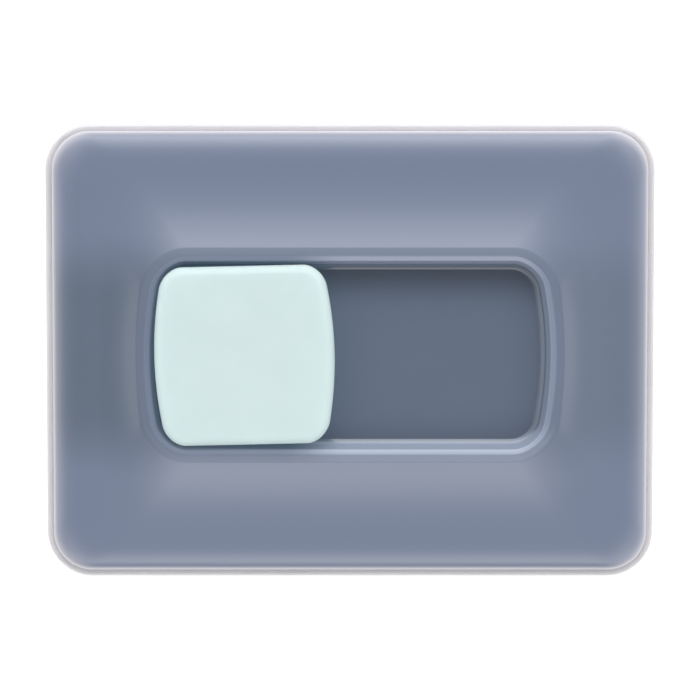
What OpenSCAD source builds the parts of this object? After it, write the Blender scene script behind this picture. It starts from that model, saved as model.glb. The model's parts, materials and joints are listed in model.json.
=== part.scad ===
// Wet palette: a frosted tray with a damp sponge and a sheet of palette paper, closed by a
// glossy lid whose long trough holds a loose sliding block.
// Millimetres, +Z up. The origin is the middle of the footprint, on the surface it stands on.
// X runs along the length and -Y is the front, where the finger tab is.

/* [Tray] */
// Length of the tray over its rim
tray_l = 200; // [180:1:240]
// Width of the tray over its rim
tray_w = 149; // [135:1:190]
// Radius of the tray's corners, seen from above
tray_corner_r = 15; // [14:0.5:20]
// Thickness of the tray's walls and floor
tray_wall = 2; // [1.6:0.1:2.4]
// Depth of the tray from its ledge down to its floor
tray_depth = 15; // [13:0.5:22]
// Radius of the edge between the tray's wall and its underside
tray_edge_r = 4; // [3:0.5:5]
// Thickness of the rim that stands round the lid
rim_t = 2.2; // [1.8:0.1:3]
// Radius of the rim's outer top edge
rim_edge_r = 0.9; // [0.4:0.1:1.4]
// Height of the rim above the ledge
rim_h = 3.5; // [3:0.1:5]
// Width of the ledge that the lid rests on
ledge_w = 3.2; // [2.8:0.1:4]
// Width of the finger tab on the front of the rim
tab_w = 19; // [12:1:30]
// How far the finger tab stands out of the rim
tab_out = 0.25; // [0.2:0.05:1]
// How far right of the middle the finger tab sits
tab_x = 2.5; // [-20:0.5:20]
// Height of the finger tab
tab_h = 2.2; // [1.6:0.1:3]

/* [Feet] */
// Diameter of a foot
foot_d = 12; // [8:0.5:16]
// How far a foot stands below the tray
foot_proud = 1; // [0.6:0.1:2]
// How deep a foot sits in its pocket
foot_sink = 0.8; // [0.5:0.1:1]
// Distance from the tray's sides to a foot's middle
foot_inset = 24; // [20:1:40]

/* [Lid] */
// Thickness of the lid's shell
lid_t = 2.2; // [1.8:0.1:2.4]
// Width of the rolled edge of the lid
roll_w = 11; // [9:0.5:13]
// Height of the rolled edge of the lid
roll_h = 5.3; // [4.5:0.1:9]
// How square the rolled edge is: 2 is an ellipse and more is squarer
roll_power = 3; // [2:0.1:4]
// How far the top of the rolled edge climbs on its way to the shoulder
shoulder_rise = 1; // [0:0.1:1.5]
// Corner radius of the lid at its shoulder
shoulder_r = 14; // [8:0.5:18]
// Even part of the climb from the shoulder to the lip of the trough
slope_rise = 2.2; // [1:0.1:4]
// Part of that climb which grows towards the lip
flare_rise = 3.4; // [2:0.1:6]
// How late the flare comes: 1 is even and more is later
flare_power = 2.5; // [1.5:0.1:4]
// Width of the lip round the trough
lip_w = 4.3; // [3.5:0.1:7]
// How far the lip climbs from its outer edge to its crest
lip_rise = 0.6; // [0:0.1:1]
// Radius of the edge where the lip turns down into the trough
crest_r = 1.9; // [1:0.1:3]
// Thickness of the liner under the lid
liner_t = 1.6; // [1.2:0.1:2]
// Width of the step in the lid that the liner bears on
step_w = 1.2; // [0.8:0.1:1.6]
// How far the liner's skirt reaches down into the tray
skirt_h = 5; // [4.5:0.1:7]
// Thickness of the liner's skirt
skirt_t = 1.6; // [1.2:0.1:2]
// Thickness of the seal between the lid and the ledge
seal_t = 1; // [0.6:0.1:1.6]
// Thickness of the ribs that carry the trough
rib_t = 1.6; // [1.2:0.1:2]

/* [Trough] */
// Length of the trough at its mouth
trough_l = 130.5; // [124:0.1:140]
// Width of the trough at its mouth
trough_w = 61.5; // [60:0.1:66]
// Depth of the trough
trough_depth = 8; // [6.5:0.1:8.5]
// Corner radius of the trough at its mouth
trough_r = 9; // [8:0.5:12]
// How far the ends of the trough bow out at their middle
trough_bow = 3.8; // [2:0.1:4.5]
// Angle by which the trough's wall leans outward
trough_lean = 16; // [12:1:20]
// Radius between the wall and the floor of the trough
trough_floor_r = 1.6; // [0.8:0.1:2]
// How far in front of the lid's middle the trough lies
trough_shift = 0.8; // [0:0.1:2]

/* [Block] */
// Length of the block along the trough
block_l = 58.5; // [50:0.1:60]
// Width of the block across the trough
block_w = 58; // [50:0.1:58]
// Height of the block above the trough's floor
block_h = 10; // [9:0.1:14]
// Corner radius of the block, seen from above
block_r = 7; // [7:0.5:10]
// How far the block's left and right sides bow out
block_bow = 3.5; // [2:0.1:4]
// Radius of the block's top edge
block_top_r = 3; // [1.5:0.1:4]
// Radius of the block's bottom edge
block_foot_r = 1.2; // [0.8:0.1:1.6]
// How much the block narrows on each side towards its foot
block_taper = 1.6; // [1.2:0.1:2]
// Thickness of the block's wall at its foot
block_wall = 1; // [0.8:0.1:1.4]
// Thickness of the block's top
block_top_t = 2; // [1.4:0.1:2.4]
// Thickness of the plate that closes the block from below
base_t = 1.6; // [1.4:0.1:2]
// Angle that the loose block lies at, seen from above
block_turn = 1.3; // [0:0.1:1.4]
// Thickness of the glide pad under the block
pad_t = 0.8; // [0.6:0.1:1]
// How deep the glide pad is let into the base plate
pad_sink = 0.4; // [0.2:0.1:0.5]
// Distance from the block's sides to the edge of the glide pad
pad_inset = 6; // [5:0.5:6.5]
// Diameter of a holding magnet
magnet_d = 8; // [6:0.5:10]
// Thickness of a holding magnet
magnet_t = 2; // [1.5:0.1:2.5]
// Distance between the two magnets
magnet_gap = 18; // [16:1:20]
// Wall of the ring that holds a magnet
boss_wall = 1.4; // [1:0.1:2]
// Diameter of a steel keeper disc
keeper_d = 10; // [8:0.5:12]
// Thickness of a steel keeper disc
keeper_t = 1; // [0.6:0.1:1.2]

/* [Sponge and paper] */
// Thickness of the sponge
sponge_t = 5; // [3:0.5:6]
// Thickness of the palette paper
paper_t = 0.3; // [0.2:0.05:0.4]
// How far the paper stays inside the edge of the sponge
paper_margin = 2; // [1:0.5:6]

/* [Clearances] */
// Gap between the rim and the lid
lid_gap = 0.2; // [0.15:0.05:0.5]
// Gap between the liner's skirt and the tray's wall
skirt_gap = 0.4; // [0.3:0.05:0.6]
// Gap between the sponge and the tray's wall
sponge_gap = 1; // [0.5:0.1:2]
// Gap between the block and the wall at the end of the trough
end_gap = 1.5; // [1:0.1:2]
// Gap round a foot, a magnet and the glide pad in their pockets
pocket_gap = 0.05; // [0.05:0.01:0.1]
// Gap between the base plate and the block's wall
base_gap = 0.1; // [0.05:0.01:0.2]

/* [Hidden] */
$fn = 96;

// Steps of one corner, one long side, one end and one fillet of the lofted shapes
corner_steps = 8;
side_steps = 4;
end_steps = 8;
fillet_steps = 4;
roll_steps = 9;
slope_steps = 8;

// Heights
tray_z = foot_proud;
floor_z = tray_z + tray_wall;
ledge_z = floor_z + tray_depth;
rim_z = ledge_z + rim_h;
lid_z = ledge_z + seal_t;
shoulder_z = rim_z + roll_h + shoulder_rise;
lip_z = shoulder_z + slope_rise + flare_rise + lip_rise;
trough_z = lip_z - trough_depth;
trough_under_z = trough_z - lid_t;
block_foot_z = trough_z + pad_t - pad_sink;
block_top_z = trough_z + block_h;
base_top_z = block_foot_z + base_t;

// Distances inward from the tray's outline
ledge_in = rim_t + ledge_w;
wall_in = ledge_in - tray_wall;
lid_in = rim_t + lid_gap;
skirt_in = ledge_in + skirt_gap;
sponge_in = ledge_in + sponge_gap;
inner_edge_r = tray_edge_r - tray_wall;

// Distance outward from the trough's mouth to its wall at a height z
function wall_out(z) = -(lip_z - z) * tan(trough_lean);

// Where the arcs of the trough's crest and of its floor's edge begin
crest_out = crest_r * tan((90 - trough_lean) / 2);
floor_out = wall_out(trough_z) - trough_floor_r * tan((90 - trough_lean) / 2);

// Places of the block's parts
block_x = -trough_l / 2 - wall_out(block_top_z - block_top_r) + end_gap + block_l / 2;
block_cavity_inset = block_taper + block_foot_r + block_wall;

// Colours
frost = [0.90, 0.90, 0.91];
lid_blue = [0.44, 0.50, 0.60];
mint = [0.83, 0.92, 0.92];
silicone = [0.82, 0.83, 0.85];
steel = [0.62, 0.63, 0.65];
sponge_yellow = [0.93, 0.89, 0.72];
paper_white = [0.97, 0.96, 0.93];

function mix(a, b, t) = a + (b - a) * t;

// A ring is [half length, half width, corner radius, bow of the ends, height, shift to the front].
function at_height(ring, z) = [ring[0], ring[1], ring[2], ring[3], z, ring[5]];

// Moves a point of a straight-sided outline outward so that the ends bow.
function bowed(p, ring) =
    [p[0] - ring[3] * pow(p[1] / ring[1], 2) * p[0] / ring[0], p[1]];

// One corner of an outline and the straight stretch that follows it.
function corner_and_side(ring, k) =
    let (sx = k == 0 || k == 3 ? 1 : -1,
         sy = k < 2 ? 1 : -1,
         middle = [sx * (ring[0] - ring[2]), sy * (ring[1] - ring[2])],
         along = k % 2 == 0 ? [-2 * sx * (ring[0] - ring[2]), 0] : [0, -2 * sy * (ring[1] - ring[2])],
         steps = k % 2 == 0 ? side_steps : end_steps,
         last = 90 * (k + 1))
    concat(
        [for (i = [0:corner_steps])
            let (a = 90 * k + 90 * i / corner_steps) middle + ring[2] * [cos(a), sin(a)]],
        [for (j = [1:steps - 1])
            middle + ring[2] * [cos(last), sin(last)] + along * j / steps]);

// The outline of a ring: a rectangle with round corners and bowed ends.
function outline(ring) =
    [for (k = [0:3]) for (p = corner_and_side(ring, k)) bowed(p, ring)];

function ring_points(ring) = [for (p = outline(ring)) [p[0], p[1] - ring[5], ring[4]]];

// Closed skin through a list of rings, each with the same number of points.
module loft(rings) {
    n = len(outline(rings[0]));
    count = len(rings);
    points = [for (ring = rings) for (p = ring_points(ring)) p];
    skin = [for (k = [0:count - 2]) for (i = [0:n - 1])
        let (a = k * n + i,
             b = k * n + (i + 1) % n)
        for (face = [[a, a + n, b], [b, a + n, b + n]]) face];
    first = [for (i = [0:n - 1]) i];
    last = [for (i = [n - 1:-1:0]) (count - 1) * n + i];
    polyhedron(points, concat(skin, [first, last]), convexity = 8);
}

// A flat plate with a ring's outline, from the ring's height up.
module plate(ring, t) {
    translate([0, 0, ring[4]]) linear_extrude(t) polygon(outline(ring));
}

// Rounded rectangle centred on the origin, of half length a and half width b.
module rounded(a, b, r) {
    square([2 * a, 2 * (b - r)], center = true);
    square([2 * (a - r), 2 * b], center = true);
    for (x = [-1, 1]) for (y = [-1, 1]) translate([x * (a - r), y * (b - r)]) circle(r);
}

// Plate with true round corners whose edge lies d inside the tray's outline.
module tray_plate(d, z, t) {
    translate([0, 0, z])
        linear_extrude(t)
        rounded(tray_l / 2 - d, tray_w / 2 - d, tray_corner_r - d);
}

// Turns a section drawn as (distance inward, height) into (radius, height).
module as_radius() {
    translate([tray_corner_r, 0]) mirror([1, 0]) children();
}

// Carries a section all round the tray's outline.
module round_tray() {
    for (k = [0:3]) {
        l = k % 2 == 0 ? tray_l : tray_w;
        w = k % 2 == 0 ? tray_w : tray_l;
        rotate([0, 0, 90 * k]) {
            translate([-(l / 2 - tray_corner_r), w / 2 - tray_corner_r, 0])
                rotate([90, 0, 90])
                linear_extrude(l - 2 * tray_corner_r)
                as_radius() children();
            translate([l / 2 - tray_corner_r, w / 2 - tray_corner_r, 0])
                rotate_extrude(angle = 90)
                as_radius() children();
        }
    }
}

module at_feet() {
    for (x = [-1, 1]) for (y = [-1, 1])
        translate([x * (tray_l / 2 - foot_inset), y * (tray_w / 2 - foot_inset), 0]) children();
}

// Section of the tray: rim, ledge, wall and the round edge at the floor.
module tray_section() {
    translate([rim_edge_r, rim_z - rim_edge_r]) circle(rim_edge_r);
    translate([rim_edge_r, ledge_z]) square([rim_t - rim_edge_r, rim_h]);
    translate([0, ledge_z]) square([rim_t, rim_h - rim_edge_r]);
    translate([0, ledge_z - tray_wall]) square([ledge_in, tray_wall]);
    translate([wall_in, tray_z + tray_edge_r])
        square([tray_wall, ledge_z - tray_z - tray_edge_r]);
    translate([wall_in + tray_edge_r, tray_z + tray_edge_r]) intersection() {
        difference() {
            circle(tray_edge_r);
            circle(inner_edge_r);
        }
        translate([-tray_edge_r, -tray_edge_r]) square(tray_edge_r);
    }
}

// Finger tab: a flat pill on the front of the rim.
module finger_tab() {
    tab_r = tab_h / 2;
    translate([tab_x, -tray_w / 2 + rim_t / 2, ledge_z]) rotate([90, 0, 0]) {
        linear_extrude(rim_t / 2 + tab_out) {
            square([tab_w - tab_h, tab_h], center = true);
            for (x = [-1, 1]) translate([x * (tab_w / 2 - tab_r), 0]) circle(tab_r);
        }
    }
}

module base_tray() {
    color(frost) difference() {
        union() {
            round_tray() tray_section();
            tray_plate(wall_in + tray_edge_r, tray_z, tray_wall);
            finger_tab();
        }
        at_feet() cylinder(h = tray_z + foot_sink, r = foot_d / 2 + pocket_gap);
    }
}

// A foot: a silicone disc with a rounded lower edge.
module foot(x, y) {
    h = foot_proud + foot_sink;
    edge = foot_proud / 2;
    color(silicone) translate([x * (tray_l / 2 - foot_inset), y * (tray_w / 2 - foot_inset), 0])
        rotate_extrude() {
            square([foot_d / 2 - edge, h]);
            translate([0, edge]) square([foot_d / 2, h - edge]);
            translate([foot_d / 2 - edge, edge]) circle(edge);
        }
}

module foot_front_left() { foot(-1, -1); }
module foot_front_right() { foot(1, -1); }
module foot_back_left() { foot(-1, 1); }
module foot_back_right() { foot(1, 1); }

// Section of the sponge's border: its lower edge is as round as the inside of the tray.
module sponge_section() {
    intersection() {
        translate([sponge_in, floor_z]) square([inner_edge_r, sponge_t]);
        union() {
            translate([sponge_in + inner_edge_r, floor_z + inner_edge_r]) circle(inner_edge_r);
            translate([sponge_in, floor_z + inner_edge_r]) square([inner_edge_r, sponge_t]);
        }
    }
}

module sponge() {
    color(sponge_yellow) {
        round_tray() sponge_section();
        tray_plate(sponge_in + inner_edge_r, floor_z, sponge_t);
    }
}

module palette_paper() {
    color(paper_white) tray_plate(sponge_in + paper_margin, floor_z + sponge_t, paper_t);
}

// Ring of the lid at a distance u inside its edge, as far as the shoulder.
function lid_ring(u, z) =
    [tray_l / 2 - lid_in - u, tray_w / 2 - lid_in - u,
     mix(tray_corner_r - lid_in, shoulder_r, u / roll_w), 0, z, 0];

// Ring round the trough's mouth at a distance d outside it.
function mouth_ring(d, z) =
    [trough_l / 2 + d, trough_w / 2 + d, trough_r + d, trough_bow, z, trough_shift];

// Rings of the rolled edge, from upright at u to the shoulder.
function roll_rings(u, drop) =
    [for (i = [0:roll_steps])
        let (a = 90 * i / roll_steps,
             across = 1 - pow(cos(a), 2 / roll_power),
             up = pow(sin(a), 2 / roll_power))
        lid_ring(mix(u, roll_w, across), rim_z + (roll_h - drop) * up + shoulder_rise * across)];

// Rings of the slope from the shoulder to the outer edge of the lip.
function slope_rings(drop) =
    [for (i = [1:slope_steps])
        let (t = i / slope_steps)
        at_height(mix(lid_ring(roll_w, 0), mouth_ring(lip_w, 0), t),
                  shoulder_z + slope_rise * t + flare_rise * pow(t, flare_power) - drop)];

// Rings from the lip over the crest, down the wall and round to the floor of the trough.
function trough_rings() = concat(
    [for (i = [0:fillet_steps])
        let (a = (90 - trough_lean) * i / fillet_steps)
        mouth_ring(crest_out - crest_r * sin(a), lip_z - crest_r * (1 - cos(a)))],
    [for (i = [fillet_steps:-1:0])
        let (a = (90 - trough_lean) * i / fillet_steps)
        mouth_ring(floor_out + trough_floor_r * sin(a), trough_z + trough_floor_r * (1 - cos(a)))]);

// Rings of the lid's underside, from the trough's floor out to the edge.
function under_rings() = concat(
    [mouth_ring(wall_out(trough_under_z) + lid_t - trough_floor_r, trough_under_z),
     mouth_ring(wall_out(trough_under_z) + lid_t, trough_under_z + trough_floor_r),
     mouth_ring(wall_out(lip_z - lid_t) + lid_t, lip_z - lid_t)],
    [for (i = [slope_steps - 1:-1:0]) slope_rings(lid_t)[i]],
    [for (i = [roll_steps:-1:0]) roll_rings(lid_t + step_w, lid_t)[i]],
    [lid_ring(lid_t + step_w, lid_z + liner_t), lid_ring(lid_t, lid_z + liner_t)],
    [lid_ring(lid_t, lid_z)]);

module lid_shell() {
    color(lid_blue) loft(concat(
        under_rings(),
        [lid_ring(0, lid_z)],
        roll_rings(0, 0),
        slope_rings(0),
        trough_rings()));
}

// Liner: a flat plate inside the lid, with a skirt that plugs into the tray.
module lid_liner() {
    edge = lid_ring(lid_t, lid_z);
    rib_l = trough_l - 2 * (trough_r + trough_bow);
    color(frost) {
        plate(edge, liner_t);
        round_tray() translate([skirt_in, lid_z - skirt_h]) square([skirt_t, skirt_h]);
        for (y = [-1, 1])
            translate([-rib_l / 2, y * magnet_gap - rib_t / 2 - trough_shift, lid_z + liner_t])
                cube([rib_l, rib_t, trough_under_z - lid_z - liner_t]);
    }
}

// Seal: a flat ring round the skirt, between the lid's edge and the ledge.
module lid_seal() {
    color(silicone) round_tray()
        translate([lid_in, ledge_z]) square([skirt_in - lid_in, seal_t]);
}

// Places a piece of the block: the block lies a little turned at the left end of the trough.
module in_block() {
    translate([block_x, -trough_shift, 0]) rotate([0, 0, block_turn]) children();
}

// Ring of the block at a distance d inside its widest outline.
function block_ring(d, z) = [block_l / 2 - d, block_w / 2 - d, block_r - d, block_bow, z, 0];

function block_rings() = concat(
    [for (i = [0:fillet_steps])
        let (a = 90 * i / fillet_steps)
        block_ring(block_taper + block_foot_r * (1 - sin(a)),
                   block_foot_z + block_foot_r * (1 - cos(a)))],
    [for (i = [0:fillet_steps])
        let (a = 90 * i / fillet_steps)
        block_ring(block_top_r * (1 - cos(a)),
                   block_top_z - block_top_r * (1 - sin(a)))]);

module block_cap() {
    color(mint) in_block() difference() {
        loft(block_rings());
        plate(block_ring(block_cavity_inset, block_foot_z - 1),
              block_top_z - block_top_t - block_foot_z + 1);
    }
}

module at_magnets() {
    for (y = [-1, 1]) translate([0, y * magnet_gap / 2, 0]) children();
}

module block_base() {
    color(mint) in_block() difference() {
        union() {
            plate(block_ring(block_cavity_inset + base_gap, block_foot_z), base_t);
            at_magnets() translate([0, 0, base_top_z])
                cylinder(h = magnet_t, r = magnet_d / 2 + pocket_gap + boss_wall);
        }
        at_magnets() translate([0, 0, base_top_z])
            cylinder(h = magnet_t + 1, r = magnet_d / 2 + pocket_gap);
        plate(block_ring(pad_inset - pocket_gap, block_foot_z - 1), 1 + pad_sink);
    }
}

module block_pad() {
    color(silicone) in_block() plate(block_ring(pad_inset, trough_z), pad_t);
}

// A magnet stands in its ring on the base plate.
module magnet(y) {
    color(steel) in_block()
        translate([0, y * magnet_gap / 2, base_top_z]) cylinder(h = magnet_t, r = magnet_d / 2);
}

module magnet_front() { magnet(-1); }
module magnet_back() { magnet(1); }

// A keeper is a steel disc glued under the trough's floor, below a magnet.
module keeper(y) {
    color(steel) in_block()
        translate([0, y * magnet_gap / 2, trough_under_z - keeper_t])
        cylinder(h = keeper_t, r = keeper_d / 2);
}

module keeper_front() { keeper(-1); }
module keeper_back() { keeper(1); }

base_tray();
foot_front_left();
foot_front_right();
foot_back_left();
foot_back_right();
sponge();
palette_paper();
lid_shell();
lid_liner();
lid_seal();
keeper_front();
keeper_back();
block_cap();
block_base();
block_pad();
magnet_front();
magnet_back();
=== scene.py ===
"""Looks of the wet palette: a frosted tray, a glossy blue-grey lid with a long trough, and a mint block.

All sizes are in metres, in the CAD part's frame: +Z up, X along the length, -Y the front.
"""

import json
import math

import bpy
import bmesh
from mathutils import Matrix, Vector, noise

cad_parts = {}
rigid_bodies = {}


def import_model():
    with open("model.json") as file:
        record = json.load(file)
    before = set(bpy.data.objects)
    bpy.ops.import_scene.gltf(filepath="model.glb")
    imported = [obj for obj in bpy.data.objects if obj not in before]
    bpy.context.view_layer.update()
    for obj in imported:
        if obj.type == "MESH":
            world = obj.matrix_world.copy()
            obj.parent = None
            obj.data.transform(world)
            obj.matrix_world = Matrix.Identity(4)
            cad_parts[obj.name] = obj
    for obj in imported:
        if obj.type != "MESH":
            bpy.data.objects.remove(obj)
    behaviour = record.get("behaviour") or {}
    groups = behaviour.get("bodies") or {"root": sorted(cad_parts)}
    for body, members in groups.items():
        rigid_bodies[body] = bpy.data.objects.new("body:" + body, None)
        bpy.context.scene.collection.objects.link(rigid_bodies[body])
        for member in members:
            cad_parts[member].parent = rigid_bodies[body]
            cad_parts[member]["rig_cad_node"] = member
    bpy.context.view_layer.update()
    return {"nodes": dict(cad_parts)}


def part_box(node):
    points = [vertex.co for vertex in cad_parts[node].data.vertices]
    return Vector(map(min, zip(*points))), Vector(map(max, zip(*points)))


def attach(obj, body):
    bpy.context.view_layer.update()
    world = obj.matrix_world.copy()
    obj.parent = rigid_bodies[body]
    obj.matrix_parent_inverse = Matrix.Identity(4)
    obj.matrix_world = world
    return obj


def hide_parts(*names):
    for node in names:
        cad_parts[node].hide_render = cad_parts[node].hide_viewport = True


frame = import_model()

MM = 0.001
# Edges that turn by more degrees than this are shaded sharp, on hard pieces and on soft ones.
SHARP_ANGLE = 38
SOFT_SHARP_ANGLE = 60

# The CAD pieces that the finer pieces are made to fit.
TRAY_LOW, TRAY_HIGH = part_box("base_tray")
LID_LOW, LID_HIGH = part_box("lid_shell")
BLOCK_LOW, BLOCK_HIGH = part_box("block_cap")
SPONGE_LOW, SPONGE_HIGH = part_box("sponge")
PAPER_LOW, PAPER_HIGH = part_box("palette_paper")
PAD_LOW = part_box("block_pad")[0]

# Tray
TRAY_HALF_L = TRAY_HIGH.x
TRAY_HALF_W = TRAY_HIGH.y
TRAY_R = 15 * MM
TRAY_WALL = 2 * MM
TRAY_EDGE_R = 4 * MM
RIM_T = 2.2 * MM
RIM_EDGE_R = 0.9 * MM
RIM_H = 3.5 * MM
LEDGE_IN = RIM_T + 3.2 * MM
RIM_Z = TRAY_HIGH.z
LEDGE_Z = RIM_Z - RIM_H
TRAY_Z = TRAY_LOW.z
TAB_W = 19 * MM
TAB_H = 2.2 * MM
TAB_X = 2.5 * MM

# Lid
LID_HALF_L = LID_HIGH.x
LID_HALF_W = LID_HIGH.y
LID_Z = LID_LOW.z
LIP_Z = LID_HIGH.z
LID_T = 2.2 * MM
LID_GAP = 0.2 * MM
LID_R = TRAY_R - RIM_T - LID_GAP
STEP_W = 1.2 * MM
LINER_T = 1.6 * MM
ROLL_W = 11 * MM
ROLL_H = 5.3 * MM
ROLL_POWER = 3
SHOULDER_RISE = 1 * MM
SHOULDER_R = 14 * MM
SHOULDER_Z = RIM_Z + ROLL_H + SHOULDER_RISE
SLOPE_RISE = 2.2 * MM
FLARE_RISE = 3.4 * MM
FLARE_POWER = 2.5
LIP_W = 4.3 * MM
LIP_RISE = 0.6 * MM

# Trough
TROUGH_HALF_L = 65.25 * MM
TROUGH_HALF_W = 30.75 * MM
TROUGH_R = 9 * MM
TROUGH_BOW = 3.8 * MM
TROUGH_WALL_TILT = 78.8
UNDER_LEAN = math.radians(16)
UNDER_EDGE = 1.6 * MM
TROUGH_SHIFT = 0.8 * MM
TROUGH_Z = PAD_LOW.z

# Sponge and paper
SPONGE_GAP = 1 * MM
PAPER_MARGIN = 2 * MM

# Block
BLOCK_HALF_L = 29.25 * MM
BLOCK_HALF_W = 29 * MM
BLOCK_R = 7 * MM
BLOCK_BOW = 3.5 * MM
BLOCK_TOP_R = 3 * MM
BLOCK_FOOT_R = 1.2 * MM
BLOCK_TAPER = 1.6 * MM
BLOCK_TURN = math.radians(1.3)
BLOCK_X = (BLOCK_LOW.x + BLOCK_HIGH.x) / 2


# ---------------------------------------------------------------- mesh helpers


def mix(a, b, t):
    return a + (b - a) * t


class Ring:
    """A level outline: a rectangle with round corners and bowed ends, shifted to the front."""

    def __init__(self, half_l, half_w, r, bow, z, shift=0):
        self.half_l, self.half_w, self.r, self.bow, self.z = half_l, half_w, r, bow, z
        self.shift = shift

    def mixed(self, other, t):
        return Ring(
            mix(self.half_l, other.half_l, t),
            mix(self.half_w, other.half_w, t),
            mix(self.r, other.r, t),
            mix(self.bow, other.bow, t),
            mix(self.z, other.z, t),
            mix(self.shift, other.shift, t),
        )

    def at(self, z):
        return Ring(self.half_l, self.half_w, self.r, self.bow, z, self.shift)

    def pull(self, p):
        """How far the bow of the ends pulls a point in along X."""
        return self.bow * (p.y / self.half_w) ** 2 * p.x / self.half_l

    def points(self, corner_steps=18, long_steps=28, end_steps=22):
        out = []
        for k in range(4):
            sx = 1 if k in (0, 3) else -1
            sy = 1 if k < 2 else -1
            middle = Vector((sx * (self.half_l - self.r), sy * (self.half_w - self.r)))
            for i in range(corner_steps + 1):
                a = math.radians(90 * k + 90 * i / corner_steps)
                out.append(middle + self.r * Vector((math.cos(a), math.sin(a))))
            a = math.radians(90 * (k + 1))
            start = middle + self.r * Vector((math.cos(a), math.sin(a)))
            if k % 2 == 0:
                along = Vector((-2 * sx * (self.half_l - self.r), 0))
                steps = long_steps
            else:
                along = Vector((0, -2 * sy * (self.half_w - self.r)))
                steps = end_steps
            out += [start + along * j / steps for j in range(1, steps)]
        return [Vector((p.x - self.pull(p), p.y - self.shift, self.z)) for p in out]


def arc(start, stop, steps):
    """Angles in radians from start to stop degrees, both ends included."""
    return [math.radians(mix(start, stop, i / steps)) for i in range(steps + 1)]


def round_corner(u, z, du, dz, level_first, steps=4):
    """A quarter round in place of the corner (u, z) of a section.

    The section runs in the direction of du along its level side and of dz along its upright side.
    """
    angles = arc(0, 90, steps)
    if level_first:
        return [(u - du * (1 - math.sin(a)), z + dz * (1 - math.cos(a))) for a in angles]
    return [(u + du * (1 - math.cos(a)), z - dz * (1 - math.sin(a))) for a in angles]


def inset_rings(outer, steps):
    """Rings that shrink a flat face towards its middle, so that the face is made of small quads."""
    left, left_r = 0.04 * outer.half_w, 0.03 * outer.half_w
    last = Ring(outer.half_l - (outer.half_w - left), left, left_r, 0, outer.z, outer.shift)
    return [outer.mixed(last, i / steps) for i in range(1, steps + 1)]


def add_object(name, mesh):
    obj = bpy.data.objects.new(name, mesh)
    bpy.context.scene.collection.objects.link(obj)
    return obj


def finish_mesh(bm, name, sharp_angle=SHARP_ANGLE):
    same_place = 0.0001 * MM
    bmesh.ops.remove_doubles(bm, verts=bm.verts, dist=same_place)
    bmesh.ops.recalc_face_normals(bm, faces=bm.faces)
    mesh = bpy.data.meshes.new(name)
    bm.to_mesh(mesh)
    bm.free()
    mesh.shade_smooth()
    mesh.set_sharp_from_angle(angle=math.radians(sharp_angle))
    return add_object(name, mesh)


def add_skin(bm, rows):
    """Adds a closed skin over rows of points to bm, its first and last rows filled with a face."""
    rows = [[bm.verts.new(point) for point in row] for row in rows]
    n = len(rows[0])
    for low, high in zip(rows, rows[1:]):
        for i in range(n):
            j = (i + 1) % n
            bm.faces.new((low[i], low[j], high[j], high[i]))
    bm.faces.new(rows[0])
    bm.faces.new(rows[-1])


def add_loft(bm, rings, **steps):
    add_skin(bm, [ring.points(**steps) for ring in rings])


def loft(name, rings):
    bm = bmesh.new()
    add_loft(bm, rings)
    return finish_mesh(bm, name)


def paint(obj, name, value_at):
    """Paints the value of a function of the place on each point of a mesh."""
    layer = obj.data.attributes.new(name, "FLOAT", "POINT")
    layer.data.foreach_set("value", [value_at(v.co) for v in obj.data.vertices])


def fade(value, span):
    """0 below the start of the span, 1 above its end, and a smooth turn in between."""
    start, end = span
    t = min(max((value - start) / (end - start), 0), 1)
    return t * t * (3 - 2 * t)


# ---------------------------------------------------------------- materials


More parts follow.
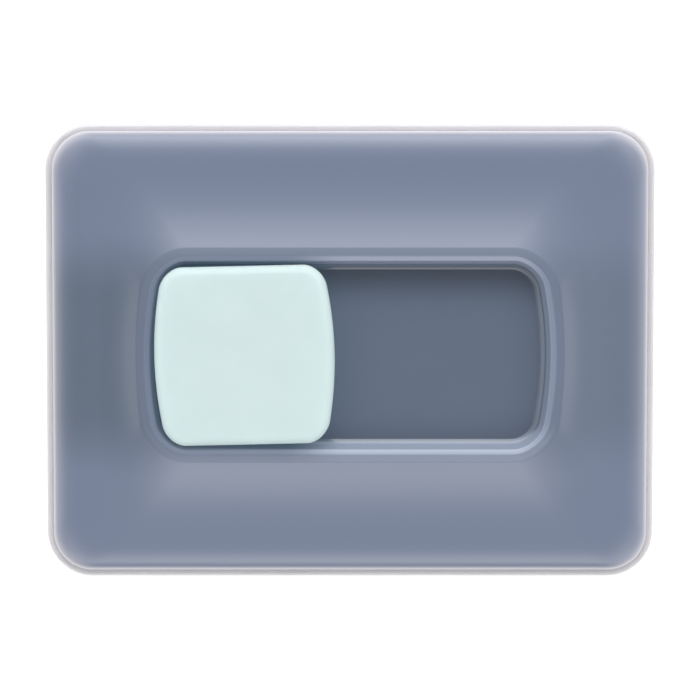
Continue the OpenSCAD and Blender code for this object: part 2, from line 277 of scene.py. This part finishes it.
class Material:
    """A small builder for one procedural material."""

    # The span that most of a noise's values lie in.
    NOISE_LOW, NOISE_HIGH = 0.3, 0.7
    # Places of the factor, the two colours and the result among the sockets of a colour mix.
    MIX_FACTOR, MIX_FIRST, MIX_SECOND, MIX_RESULT = 0, 6, 7, 2

    def __init__(self, name):
        self.mat = bpy.data.materials.new(name)
        self.mat.use_nodes = True
        self.nodes = self.mat.node_tree.nodes
        self.links = self.mat.node_tree.links
        self.shader = self.nodes["Principled BSDF"]
        self.place = self.nodes.new("ShaderNodeTexCoord").outputs["Object"]

    def set(self, **values):
        for key, value in values.items():
            self.shader.inputs[key.replace("_", " ")].default_value = value

    def noise(self, size, detail, rough=0.55, stretch=None):
        """Noise whose features are about size metres across."""
        node = self.nodes.new("ShaderNodeTexNoise")
        node.inputs["Scale"].default_value = 1 / size
        node.inputs["Detail"].default_value = detail
        node.inputs["Roughness"].default_value = rough
        place = self.place
        if stretch:
            mapping = self.nodes.new("ShaderNodeMapping")
            mapping.inputs["Scale"].default_value = stretch
            self.links.new(place, mapping.inputs["Vector"])
            place = mapping.outputs["Vector"]
        self.links.new(place, node.inputs["Vector"])
        return node.outputs["Fac"]

    def cells(self, size):
        """Distance from the middle of the nearest of many cells about size metres across."""
        node = self.nodes.new("ShaderNodeTexVoronoi")
        node.inputs["Scale"].default_value = 1 / size
        self.links.new(self.place, node.inputs["Vector"])
        return node.outputs["Distance"]

    def ranged(self, value, low, high, to_low, to_high):
        node = self.nodes.new("ShaderNodeMapRange")
        node.inputs["From Min"].default_value = low
        node.inputs["From Max"].default_value = high
        node.inputs["To Min"].default_value = to_low
        node.inputs["To Max"].default_value = to_high
        self.links.new(value, node.inputs["Value"])
        return node.outputs["Result"]

    def painted(self, name):
        """The value of that name that is painted on the mesh's points."""
        node = self.nodes.new("ShaderNodeAttribute")
        node.attribute_name = name
        return node.outputs["Fac"]

    def colour_mix(self, share):
        """The two colour inputs and the colour output of a new mix by the share."""
        node = self.nodes.new("ShaderNodeMix")
        node.data_type = "RGBA"
        self.links.new(share, node.inputs[self.MIX_FACTOR])
        return node.inputs[self.MIX_FIRST], node.inputs[self.MIX_SECOND], node.outputs[self.MIX_RESULT]

    def blend(self, colour, other, share):
        """Base colour that turns from colour into other by the share."""
        first, second, blended = self.colour_mix(share)
        self.links.new(colour, first)
        second.default_value = (*other, 1)
        self.links.new(blended, self.shader.inputs["Base Color"])
        return blended

    def glow(self, colour, share):
        """Painted light that the surface gives off, none where the share is 0."""
        first, second, light = self.colour_mix(share)
        first.default_value = (0, 0, 0, 1)
        second.default_value = (*colour, 1)
        self.links.new(light, self.shader.inputs["Emission Color"])
        self.set(Emission_Strength=1.0)

    def roughness(self, value, smooth, rough):
        ranged = self.ranged(value, self.NOISE_LOW, self.NOISE_HIGH, smooth, rough)
        self.links.new(ranged, self.shader.inputs["Roughness"])

    def colour(self, value, dark, light, low=NOISE_LOW, high=NOISE_HIGH):
        """Base colour that turns from dark into light as the value goes from low to high."""
        ramp = self.nodes.new("ShaderNodeValToRGB")
        ramp.color_ramp.elements[0].position = low
        ramp.color_ramp.elements[0].color = (*dark, 1)
        ramp.color_ramp.elements[1].position = high
        ramp.color_ramp.elements[1].color = (*light, 1)
        self.links.new(value, ramp.inputs["Fac"])
        self.links.new(ramp.outputs["Color"], self.shader.inputs["Base Color"])
        return ramp.outputs["Color"]

    def bump(self, value, depth, strength=1.0, under=None):
        node = self.nodes.new("ShaderNodeBump")
        node.inputs["Distance"].default_value = depth
        node.inputs["Strength"].default_value = strength
        self.links.new(value, node.inputs["Height"])
        if under is not None:
            self.links.new(under, node.inputs["Normal"])
        self.links.new(node.outputs["Normal"], self.shader.inputs["Normal"])
        return node.outputs["Normal"]


def toned(colour, factor):
    """A colour made darker or lighter by a factor."""
    return tuple(c * factor for c in colour)


def glossy_lid():
    """Glossy moulded plastic: faint flow mottling, and the long soft waves of a moulded surface.

    Painted light on its edge, long sides and trough wall; painted shade on the trough's floor and in its
    reflections.
    """
    m = Material("glossy_lid_plastic")
    # lit, edge_light and wall_light are painted light; dark is painted shade.
    base, lit, dark = (0.083, 0.108, 0.152), (0.122, 0.15, 0.22), (0.02, 0.026, 0.037)
    edge_light, wall_light = (0.5, 0.49, 0.53), (0.135, 0.152, 0.172)
    full_mirroring, shaded_mirroring = 0.5, 0.16
    tint = m.colour(m.noise(45 * MM, 4), toned(base, 0.97), toned(base, 1.03))
    body = m.blend(tint, lit, m.painted("body_painted_light"))
    shaded = m.blend(body, dark, m.painted("shade"))
    m.blend(shaded, edge_light, m.painted("edge_painted_light"))
    m.glow(wall_light, m.painted("wall_painted_light"))
    # Painted shade: the lid mirrors less where this painted value is high.
    mirroring = m.ranged(m.painted("painted_dim_reflection"), 0, 1, full_mirroring, shaded_mirroring)
    m.links.new(mirroring, m.shader.inputs["Specular IOR Level"])
    m.roughness(m.noise(9 * MM, 6, 0.7), 0.13, 0.19)
    waves = m.bump(m.noise(16 * MM, 1), 0.012 * MM)
    m.bump(m.noise(0.5 * MM, 2), 0.0022 * MM, under=waves)
    m.set(IOR=1.6)
    return m.mat


def frosted_plastic():
    """Frosted polypropylene: a fine even grain, and light that scatters below the surface."""
    m = Material("frosted_plastic")
    base = (0.585, 0.575, 0.595)
    m.colour(m.noise(20 * MM, 4), toned(base, 0.975), toned(base, 1.02))
    m.roughness(m.noise(5 * MM, 5, 0.7), 0.34, 0.46)
    grain = m.bump(m.noise(0.28 * MM, 3, 0.7), 0.012 * MM)
    m.bump(m.noise(12 * MM, 1), 0.02 * MM, under=grain)
    # Painted light: the top of the rim glows at the back.
    m.glow((0.1, 0.1, 0.11), m.painted("rim_painted_light"))
    m.set(IOR=1.49, Transmission_Weight=0.12, Subsurface_Weight=0.7, Subsurface_Scale=2 * MM)
    m.set(Subsurface_Radius=(1.0, 1.0, 1.0))
    return m.mat


def mint_plastic():
    """Matte mint plastic with a fine spark-eroded grain."""
    m = Material("mint_plastic")
    base = (0.495, 0.595, 0.595)
    m.colour(m.noise(18 * MM, 5), toned(base, 0.985), toned(base, 1.015))
    m.roughness(m.noise(3 * MM, 5, 0.7), 0.5, 0.6)
    grain = m.bump(m.noise(0.25 * MM, 4, 0.75), 0.02 * MM)
    m.bump(m.noise(10 * MM, 1), 0.015 * MM, under=grain)
    # Painted light: the lower part of the block's sides glows.
    m.glow((0.34, 0.54, 0.6), m.painted("side_painted_light"))
    m.set(IOR=1.48, Subsurface_Weight=0.7, Subsurface_Scale=5 * MM)
    m.set(Subsurface_Radius=(0.8, 1.0, 1.0))
    return m.mat


def silicone():
    m = Material("silicone")
    base = (0.62, 0.64, 0.67)
    m.colour(m.noise(6 * MM, 4), toned(base, 0.96), toned(base, 1.03))
    m.roughness(m.noise(2 * MM, 5, 0.7), 0.5, 0.68)
    m.bump(m.noise(0.3 * MM, 4, 0.7), 0.015 * MM)
    m.set(IOR=1.41, Subsurface_Weight=0.3, Subsurface_Scale=2 * MM)
    return m.mat


def sponge_foam():
    """Damp open-cell foam: pores of two sizes over a slightly uneven cream colour."""
    m = Material("sponge_foam")
    base = (0.80, 0.70, 0.40)
    pores = m.cells(1.6 * MM)
    # The pores are painted darker: painted shade in them.
    m.colour(pores, toned(base, 0.55), base, 0.05, 0.42)
    m.roughness(m.noise(4 * MM, 4), 0.75, 0.92)
    big = m.bump(pores, 0.5 * MM, 0.9)
    m.bump(m.cells(0.6 * MM), 0.18 * MM, 0.7, under=big)
    m.set(IOR=1.35, Subsurface_Weight=0.2, Subsurface_Scale=2 * MM)
    return m.mat


def palette_paper():
    """Damp parchment: cloudy, with a faint fibre grain."""
    m = Material("palette_paper")
    base = (0.86, 0.84, 0.78)
    m.colour(m.noise(22 * MM, 6, 0.65), toned(base, 0.93), toned(base, 1.03))
    m.roughness(m.noise(8 * MM, 5), 0.42, 0.62)
    m.bump(m.noise(0.9 * MM, 6, 0.7, (1, 6, 1)), 0.04 * MM)
    m.set(IOR=1.45, Subsurface_Weight=0.15, Subsurface_Scale=1 * MM)
    return m.mat


def plated_steel():
    m = Material("plated_steel")
    base = (0.56, 0.57, 0.59)
    m.colour(m.noise(2 * MM, 5), toned(base, 0.93), toned(base, 1.05))
    m.roughness(m.noise(0.6 * MM, 5, 0.7, (1, 12, 1)), 0.22, 0.36)
    m.bump(m.noise(0.25 * MM, 4, 0.7, (1, 12, 1)), 0.004 * MM)
    m.set(Metallic=1.0)
    return m.mat


def dress(obj, material):
    obj.data.materials.clear()
    obj.data.materials.append(material)


LID_PLASTIC = glossy_lid()
FROSTED = frosted_plastic()
MINT = mint_plastic()
SILICONE = silicone()
SPONGE = sponge_foam()
PAPER = palette_paper()
STEEL = plated_steel()


# ---------------------------------------------------------------- tray


def tray_ring(u, z):
    """Ring at a distance u inside the tray's outline."""
    return Ring(TRAY_HALF_L - u, TRAY_HALF_W - u, TRAY_R - u, 0, z)


def tray_profile():
    """The tray's section as (distance inward, height), from the underside round the rim to the floor."""
    soft = 0.5 * MM
    rim_soft = 0.08 * MM
    wall_u = LEDGE_IN - TRAY_WALL
    wall_top = LEDGE_Z - TRAY_WALL
    inner_r = TRAY_EDGE_R - TRAY_WALL
    return (
        round_corner(wall_u, TRAY_Z, -TRAY_EDGE_R, TRAY_EDGE_R, True, 10)
        + round_corner(wall_u, wall_top, -soft, soft, False)
        + round_corner(0, wall_top, -soft, soft, True)
        + round_corner(0, RIM_Z, RIM_EDGE_R, RIM_EDGE_R, False, 10)
        + round_corner(RIM_T, RIM_Z, rim_soft, -rim_soft, True)
        + round_corner(RIM_T, LEDGE_Z, soft, -soft, False)
        + round_corner(LEDGE_IN, LEDGE_Z, soft, -soft, True)
        + round_corner(LEDGE_IN, TRAY_Z + TRAY_WALL, inner_r, -inner_r, False, 6)
    )


def tab_outline(inset, y):
    """Upright outline of the finger tab, a distance inside its edge."""
    half, r = TAB_W / 2 - TAB_H / 2, TAB_H / 2 - inset
    return [
        (TAB_X + side * (half + r * math.cos(a)), y, LEDGE_Z + side * r * math.sin(a))
        for side in (1, -1)
        for a in arc(-90, 90, 12)
    ]


def add_tab(bm):
    """The finger tab: a flat pill with softened edges on the front of the rim."""
    soft = 0.12 * MM
    root, front = -TRAY_HALF_W + RIM_T / 2, TRAY_LOW.y
    add_skin(bm, [tab_outline(0, root), tab_outline(0, front + soft), tab_outline(soft, front)])


def rim_painted_light(place):
    """Painted light: the top of the rim glows at the back, the side the strongest light comes from."""
    at_back = fade(place.y, (TRAY_HALF_W - 5 * MM, TRAY_HALF_W - 2 * MM))
    return at_back * fade(place.z, (RIM_Z - 0.6 * MM, RIM_Z))


def make_tray():
    bm = bmesh.new()
    add_loft(bm, [tray_ring(u, z) for u, z in tray_profile()])
    add_tab(bm)
    tray = finish_mesh(bm, "tray_frosted")
    paint(tray, "rim_painted_light", rim_painted_light)
    dress(tray, FROSTED)
    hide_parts("base_tray")
    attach(tray, "tray")


# ---------------------------------------------------------------- lid


def lid_ring(u, z):
    """Ring at a distance u inside the lid's outline, its corners rounder towards the shoulder."""
    r = mix(LID_R, SHOULDER_R, u / ROLL_W)
    return Ring(LID_HALF_L - u, LID_HALF_W - u, r, 0, z)


def mouth_ring(d, z):
    """Ring at a distance d outside the trough's mouth."""
    return Ring(TROUGH_HALF_L + d, TROUGH_HALF_W + d, TROUGH_R + d, TROUGH_BOW, z, TROUGH_SHIFT)


def roll_rings(u, drop, steps=22):
    """Rings of the rolled edge, from upright at u inside the edge to the shoulder."""
    out = []
    for a in arc(0, 90, steps):
        across = 1 - max(math.cos(a), 0) ** (2 / ROLL_POWER)
        up = math.sin(a) ** (2 / ROLL_POWER)
        z = RIM_Z + (ROLL_H - drop) * up + SHOULDER_RISE * across
        out.append(lid_ring(mix(u, ROLL_W, across), z))
    return out


def slope_rings(drop, steps=26):
    """Rings from the shoulder to the outer edge of the lip."""
    shoulder, lip = lid_ring(ROLL_W, 0), mouth_ring(LIP_W, 0)
    out = []
    for t in [i / steps for i in range(1, steps + 1)]:
        z = SHOULDER_Z + SLOPE_RISE * t + FLARE_RISE * t**FLARE_POWER - drop
        out.append(shoulder.mixed(lip, t).at(z))
    return out


# The trough's section from the lip inwards, as bends: (radius, first tilt, last tilt, steps). A tilt is
# the angle in degrees by which the surface goes down towards the trough.
LIP_TILT = -12
LIP_BENDS = [(1 * MM, -22.9, LIP_TILT, 3)]
CREST_BENDS = [(0.3 * MM, LIP_TILT, 16, 5), (6.5 * MM, 16, 30, 6), (0.5 * MM, 30, TROUGH_WALL_TILT, 6)]
FOOT_BENDS = [(0.5 * MM, TROUGH_WALL_TILT, 42, 6), (6 * MM, 42, 28, 6), (0.8 * MM, 28, 0, 6)]


def follow(path, bends):
    """Adds the points of the bends to a path of (distance outside the mouth, height)."""
    d, z = path[-1]
    for radius, first, last, steps in bends:
        for i in range(steps):
            tilt = math.radians(mix(first, last, (i + 0.5) / steps))
            length = radius * abs(math.radians(last - first)) / steps
            d, z = d - length * math.cos(tilt), z - length * math.sin(tilt)
            path.append((d, z))


def go_down(path, tilt, z, steps=3):
    """Adds a straight stretch at a tilt as far as the height z."""
    d0, z0 = path[-1]
    d1 = d0 - (z0 - z) / math.tan(math.radians(tilt))
    path += [(mix(d0, d1, i / steps), mix(z0, z, i / steps)) for i in range(1, steps + 1)]


def bends_drop(bends):
    """Height that the bends go down by."""
    path = [(0, 0)]
    follow(path, bends)
    return -path[-1][1]


def trough_rings():
    """Rings from the lip over the crest and down the wall to the edge of the trough's floor."""
    path = [(LIP_W, LIP_Z - LIP_RISE)]
    follow(path, LIP_BENDS)
    go_down(path, LIP_TILT, LIP_Z, 6)
    follow(path, CREST_BENDS)
    go_down(path, TROUGH_WALL_TILT, TROUGH_Z + bends_drop(FOOT_BENDS))
    follow(path, FOOT_BENDS)
    return [mouth_ring(d, z) for d, z in path[1:]]


def wall_out(z):
    """Distance outward from the trough's mouth to the middle of its wall at a height z."""
    return -(LIP_Z - z) * math.tan(UNDER_LEAN)


def under_rings():
    """Rings of the lid's underside, from below the trough outward to the step on the liner."""
    under_z = TROUGH_Z - LID_T
    foot = [
        mouth_ring(wall_out(under_z) + LID_T - UNDER_EDGE, under_z),
        mouth_ring(wall_out(under_z) + LID_T, under_z + UNDER_EDGE),
        mouth_ring(wall_out(LIP_Z - LID_T) + LID_T, LIP_Z - LID_T),
    ]
    slope = slope_rings(LID_T, 12)[::-1]
    roll = roll_rings(LID_T + STEP_W, LID_T, 12)[::-1]
    step = [
        lid_ring(LID_T + STEP_W, LID_Z + LINER_T),
        lid_ring(LID_T, LID_Z + LINER_T),
        lid_ring(LID_T, LID_Z),
    ]
    return foot + slope + roll + step


def mouth_distance(place):
    """Distance of a place outside the trough's mouth, seen from above."""
    y = place.y + TROUGH_SHIFT
    bow = TROUGH_BOW * min(abs(y) / TROUGH_HALF_W, 1) ** 2
    over_x = abs(place.x) + bow - (TROUGH_HALF_L - TROUGH_R)
    over_y = abs(y) - (TROUGH_HALF_W - TROUGH_R)
    return math.hypot(max(over_x, 0), max(over_y, 0)) + min(max(over_x, over_y), 0) - TROUGH_R


# Spans, as (start, end), over which the lid's painted values fade.
# Height above the rim, up the rolled edge:
BRIGHT_BAND = (2.2 * MM, 4.6 * MM)
ROLL_TAIL = (4.4 * MM, 6.1 * MM)
DIM_REFLECTION_BAND = (2.2 * MM, 3.2 * MM)
# Height, given from the trough's floor and from the lip:
FLOOR_FOOT = (TROUGH_Z + 0.3 * MM, TROUGH_Z + 1.2 * MM)
WALL_HEIGHT = (TROUGH_Z, LIP_Z)
LIP_TOP = (LIP_Z - 1.6 * MM, LIP_Z - 0.7 * MM)
# Distance outside the trough's mouth:
MOUTH_EDGE = (0, 1 * MM)
CREST_EDGE = (1.3 * MM, 1.9 * MM)
LIP_EDGE = (3.2 * MM, 4.6 * MM)
LIP_CORNER = (3.8 * MM, 4.6 * MM)
OUT_OF_TROUGH = (-1 * MM, 5 * MM)
# Along the lid, from its middle:
LID_ENDS = (LID_HALF_L - 14 * MM, LID_HALF_L - 6 * MM)
PAST_BLOCK = (-22 * MM, 0)
TO_THE_RIGHT = (-30 * MM, 60 * MM)
# Across the lid, from the trough's middle, and for the last one inward from its back edge:
FRONT_PART = (20 * MM, 29 * MM)
LONG_SIDES = (TROUGH_HALF_W - 12 * MM, TROUGH_HALF_W + 10 * MM)
UNDER_BACK_WALL = (3 * MM, 17 * MM)


def edge_painted_light(place):
    """Painted light turns the thin rolled edge pale, most next to the rim and higher up at the lid's ends.
    """
    if mouth_distance(place) < LIP_W:
        return 0
    up = place.z - RIM_Z
    side_tail, end_tail = 0.01, 0.16
    tail = mix(side_tail, end_tail, fade(abs(place.x), LID_ENDS))
    return mix(1, tail, fade(up, BRIGHT_BAND)) - tail * fade(up, ROLL_TAIL)


def inside_trough(place):
    return 1 - fade(mouth_distance(place), MOUTH_EDGE)


def at_front(place):
    return fade(-place.y - TROUGH_SHIFT, FRONT_PART)


def in_wall(place):
    """1 on the wall of the trough and its crest, which at the front reaches down to the floor."""
    start_back, start_front, turn = 1.6 * MM, 0.1 * MM, 0.8 * MM
    inside = 1 - fade(mouth_distance(place), CREST_EDGE)
    start = TROUGH_Z + mix(start_back, start_front, at_front(place))
    return inside * fade(place.z, (start, start + turn))


def beside_block(place):
    """1 round the block's end of the trough, where the block keeps the light off."""
    return 1 - fade(place.x, PAST_BLOCK)


def wall_painted_light(place):
    """Painted light: the trough's wall glows, most at the front and least round the block."""
    lip_share, back_share, block_share = 0.45, 0.42, 0.2
    front = at_front(place)
    on_lip = (1 - fade(mouth_distance(place), LIP_EDGE)) * fade(place.z, WALL_HEIGHT)
    share = mix(mix(back_share, 1, front), block_share, beside_block(place))
    return max(in_wall(place), lip_share * front * on_lip) * share


def painted_dim_reflection(place):
    """Painted shade: the lid's reflections are weaker on the trough's wall round the block, and next to
    the rim.
    """
    round_block = beside_block(place) * in_wall(place)
    return max(round_block, 1 - fade(place.z - RIM_Z, DIM_REFLECTION_BAND))


def shade(place):
    """Painted shade: the trough's floor is darker under its back wall."""
    deepest = 0.5
    back = 1 - fade(TROUGH_HALF_W - TROUGH_SHIFT - place.y, UNDER_BACK_WALL)
    return deepest * back * (1 - fade(place.z, FLOOR_FOOT)) * inside_trough(place)


def body_painted_light(place):
    """Painted light makes the lid's colour lighter: most along its long sides, least in the trough and at
    the left.
    """
    trough_share, right_share, lip_share, block_share = 0.16, 0.45, 0.6, 0.8
    sideways = fade(abs(place.y + TROUGH_SHIFT), LONG_SIDES)
    end = mix(0, right_share, fade(place.x, TO_THE_RIGHT))
    outside = fade(mouth_distance(place), OUT_OF_TROUGH)
    on_lip = fade(place.z, LIP_TOP) * (1 - fade(mouth_distance(place), LIP_CORNER))
    wall = max(in_wall(place), lip_share * on_lip) * mix(1, block_share, beside_block(place))
    return max(mix(trough_share, mix(end, 1, sideways), outside), wall)


def make_lid():
    snug, soft = 0.17 * MM, 0.3 * MM
    upright_h, swell_h = 2 * MM, 0.4 * MM
    edge = [lid_ring(u, z) for u, z in round_corner(0, LID_Z, -soft, soft, True, 3)]
    edge.append(lid_ring(0, LEDGE_Z + upright_h))
    edge.append(lid_ring(-snug, LEDGE_Z + upright_h + swell_h))
    outside = edge + roll_rings(-snug, 0) + slope_rings(0) + trough_rings()
    lid = loft("lid_glossy", under_rings() + outside + inset_rings(outside[-1], 10))
    # Painted light on the edge, the body and the trough's wall; painted shade in the reflections and on
    # the floor.
    paint(lid, "edge_painted_light", edge_painted_light)
    paint(lid, "body_painted_light", body_painted_light)
    paint(lid, "wall_painted_light", wall_painted_light)
    paint(lid, "painted_dim_reflection", painted_dim_reflection)
    paint(lid, "shade", shade)
    dress(lid, LID_PLASTIC)
    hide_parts("lid_shell")
    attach(lid, "lid")


# ---------------------------------------------------------------- block


def block_ring(d, z):
    """Ring at a distance d inside the block's outline."""
    return Ring(BLOCK_HALF_L - d, BLOCK_HALF_W - d, BLOCK_R - d, BLOCK_BOW, z)


def side_painted_light(place):
    """Painted light: the lower part of the block's sides glows, which lights the gap round it."""
    return 1 - fade(place.z, (BLOCK_HIGH.z - 5.5 * MM, BLOCK_HIGH.z - 4 * MM))


def make_block():
    foot_z, top_z = BLOCK_LOW.z, BLOCK_HIGH.z
    foot_flat, roof = 1 * MM, 2 * MM
    wall = BLOCK_TAPER + BLOCK_FOOT_R + foot_flat
    cavity = [block_ring(wall, top_z - roof), block_ring(wall, foot_z)]
    foot = round_corner(BLOCK_TAPER, foot_z, -BLOCK_FOOT_R, BLOCK_FOOT_R, True, 8)
    top = round_corner(0, top_z, BLOCK_TOP_R, BLOCK_TOP_R, False, 14)
    outside = [block_ring(d, z) for d, z in foot + top]
    block = loft("block_mint", cavity + outside + inset_rings(outside[-1], 8))
    paint(block, "side_painted_light", side_painted_light)
    place = Matrix.Translation((BLOCK_X, -TROUGH_SHIFT, 0))
    block.data.transform(place @ Matrix.Rotation(BLOCK_TURN, 4, "Z"))
    dress(block, MINT)
    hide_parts("block_cap")
    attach(block, "block")


# ---------------------------------------------------------------- sponge and paper


def cloud(place):
    """Smooth noise from 0 to 1 with features one unit across."""
    return 0.5 + 0.5 * noise.noise(place)


def make_sponge():
    """Damp foam pad with soft edges, its top and its sides a little uneven."""
    half_l, half_w = SPONGE_HIGH.x, SPONGE_HIGH.y
    low, high = SPONGE_LOW.z, SPONGE_HIGH.z
    r = TRAY_R - LEDGE_IN - SPONGE_GAP
    soft = 1.4 * MM
    pull, pull_waves, edge_power = 0.35 * MM, 60, 6
    dip, dip_waves = 0.22 * MM, 90
    on_top = high - 0.01 * MM
    section = round_corner(0, low, -soft, soft, True, 5) + round_corner(0, high, soft, soft, False, 5)
    rings = [Ring(half_l - d, half_w - d, r, 0, z) for d, z in section]
    bm = bmesh.new()
    add_loft(bm, rings + inset_rings(rings[-1], 24), corner_steps=10, long_steps=60, end_steps=44)
    for v in bm.verts:
        x, y, z = v.co
        inward = pull * cloud(v.co * pull_waves)
        v.co.x -= math.copysign(inward * (abs(x) / half_l) ** edge_power, x)
        v.co.y -= math.copysign(inward * (abs(y) / half_w) ** edge_power, y)
        if z > on_top:
            v.co.z -= dip * cloud(v.co * dip_waves)
    sponge = finish_mesh(bm, "sponge_foam", SOFT_SHARP_ANGLE)
    dress(sponge, SPONGE)
    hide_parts("sponge")
    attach(sponge, "tray")


def make_paper():
    """Palette paper: a thin sheet, lying on the sponge with the faint cockle of damp paper."""
    half_l, half_w = PAPER_HIGH.x, PAPER_HIGH.y
    low, high = PAPER_LOW.z, PAPER_HIGH.z
    r = TRAY_R - LEDGE_IN - SPONGE_GAP - PAPER_MARGIN
    thick = 0.1 * MM
    waves_x, waves_y, slice_z = 28, 34, 0.3
    top = Ring(half_l, half_w, r, 0, low + thick)
    bottom = Ring(half_l, half_w, r, 0, low)
    bm = bmesh.new()
    rings = inset_rings(bottom, 30)[::-1] + [bottom, top] + inset_rings(top, 30)
    add_loft(bm, rings, corner_steps=8, long_steps=60, end_steps=44)
    for v in bm.verts:
        v.co.z += (high - low - thick) * cloud(Vector((v.co.x * waves_x, v.co.y * waves_y, slice_z)))
    paper = finish_mesh(bm, "palette_sheet", SOFT_SHARP_ANGLE)
    dress(paper, PAPER)
    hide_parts("palette_paper")
    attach(paper, "tray")


# ---------------------------------------------------------------- carried-over CAD pieces


def dress_cad():
    """Gives the pieces that keep their CAD mesh their materials."""
    feet = ("foot_front_left", "foot_front_right", "foot_back_left", "foot_back_right")
    for node in feet + ("lid_seal", "block_pad"):
        dress(frame["nodes"][node], SILICONE)
    dress(frame["nodes"]["lid_liner"], FROSTED)
    dress(frame["nodes"]["block_base"], MINT)
    for node in ("keeper_front", "keeper_back", "magnet_front", "magnet_back"):
        dress(frame["nodes"][node], STEEL)


# ---------------------------------------------------------------- floor, light and camera

# Brightness of the light tent's walls, as (sine of the angle from overhead, radiance).
BACK_WALL = [
    (0, 0.25), (0.2, 0.45), (0.3, 0.7), (0.4, 1.25), (0.5, 2.1), (0.6, 2.9), (0.75, 3.8), (0.84, 4.5),
    (0.9, 4), (0.95, 3), (1, 1.6),
]
FRONT_WALL = [
    (0, 0.25), (0.2, 0.35), (0.31, 0.8), (0.44, 1.1), (0.52, 1.8), (0.64, 2.5), (0.75, 2.9), (0.86, 2.4),
    (0.94, 1), (1, 0.5),
]
RIGHT_WALL = [(0, 0.25), (0.3, 0.48), (0.5, 0.65), (0.75, 0.8), (0.9, 1.6), (1, 1.2)]
LEFT_WALL = [
    (0, 0.25), (0.2, 0.38), (0.3, 0.45), (0.42, 0.55), (0.55, 0.45), (0.75, 0.7), (0.9, 1.5), (1, 1.1),
]
# No stop is brighter than this, because a curve's values lie between 0 and 1.
BRIGHTEST = 7.0
# The higher this is, the narrower the back and front walls.
WALL_FOCUS = 4


def make_floor():
    """A pale floor with a faint light of its own, so that it comes out white."""
    size, mottling = 4, 0.4
    bm = bmesh.new()
    bmesh.ops.create_grid(bm, x_segments=1, y_segments=1, size=size)
    mesh = bpy.data.meshes.new("floor")
    bm.to_mesh(mesh)
    bm.free()
    floor = add_object("floor", mesh)
    m = Material("pale_floor")
    m.colour(m.noise(mottling, 2), (0.29, 0.29, 0.29), (0.31, 0.31, 0.31))
    m.set(Roughness=0.9, Emission_Color=(1, 1, 1, 1), Emission_Strength=0.78)
    floor.data.materials.append(m.mat)


def wall_brightness(nodes, links, side, stops):
    """A curve through a wall's stops, as a share of the brightest."""
    node = nodes.new("ShaderNodeFloatCurve")
    points = node.mapping.curves[0].points
    stops = [(at, radiance / BRIGHTEST) for at, radiance in stops]
    points[0].location = stops[0]
    points[-1].location = stops[-1]
    for stop in stops[1:-1]:
        points.new(*stop)
    node.mapping.update()
    links.new(side, node.inputs["Value"])
    return node.outputs["Value"]


def make_light():
    """A light tent: dark overhead, with bright walls at the back and the front. The camera sees white."""
    world = bpy.data.worlds.new("studio")
    world.use_nodes = True
    nodes, links = world.node_tree.nodes, world.node_tree.links

    def maths(operation, *values):
        node = nodes.new("ShaderNodeMath")
        node.operation = operation
        for socket, value in zip(node.inputs, values):
            if hasattr(value, "is_output"):
                links.new(value, socket)
            else:
                socket.default_value = value
        return node.outputs[0]

    split = nodes.new("ShaderNodeSeparateXYZ")
    links.new(nodes.new("ShaderNodeTexCoord").outputs["Generated"], split.inputs[0])
    x, y = split.outputs["X"], split.outputs["Y"]
    side = maths("SQRT", maths("ADD", maths("MULTIPLY", x, x), maths("MULTIPLY", y, y)))
    smallest = 0.001
    facing = maths("DIVIDE", y, maths("MAXIMUM", side, smallest))
    sector = maths("POWER", maths("ABSOLUTE", facing), WALL_FOCUS)

    def wall(stops, which_side, direction):
        curve = wall_brightness(nodes, links, side, stops)
        return maths("MULTIPLY", curve, maths(which_side, direction, 0.0))

    back = wall(BACK_WALL, "GREATER_THAN", facing)
    front = wall(FRONT_WALL, "LESS_THAN", facing)
    right = wall(RIGHT_WALL, "GREATER_THAN", x)
    left = wall(LEFT_WALL, "LESS_THAN", x)
    walls = maths("MULTIPLY", sector, maths("ADD", back, front))
    ends = maths("MULTIPLY", maths("SUBTRACT", 1.0, sector), maths("ADD", right, left))
    total = maths("MULTIPLY", maths("ADD", walls, ends), BRIGHTEST)
    seen = nodes.new("ShaderNodeLightPath").outputs["Is Camera Ray"]
    brightness = maths("ADD", maths("MULTIPLY", total, maths("SUBTRACT", 1.0, seen)), seen)
    links.new(brightness, nodes["Background"].inputs["Strength"])
    nodes["Background"].inputs["Color"].default_value = (1, 1, 1, 1)
    bpy.context.scene.world = world


def make_camera():
    """The camera leans a few degrees from the back over the lid, far off with a long lens."""
    distance = 0.742
    lean = math.radians(3)
    target = Vector((0, 0.36 * MM, RIM_Z))
    data = bpy.data.cameras.new("camera")
    data.sensor_width = 36
    data.lens = 115.9
    camera = bpy.data.objects.new("camera", data)
    camera.location = target + distance * Vector((0, math.sin(lean), math.cos(lean)))
    camera.rotation_euler = (-lean, 0, 0)
    bpy.context.scene.collection.objects.link(camera)
    bpy.context.scene.camera = camera
    bpy.context.scene.view_settings.view_transform = "Standard"


make_camera()
make_light()
make_floor()
make_tray()
make_lid()
make_block()
make_sponge()
make_paper()
dress_cad()
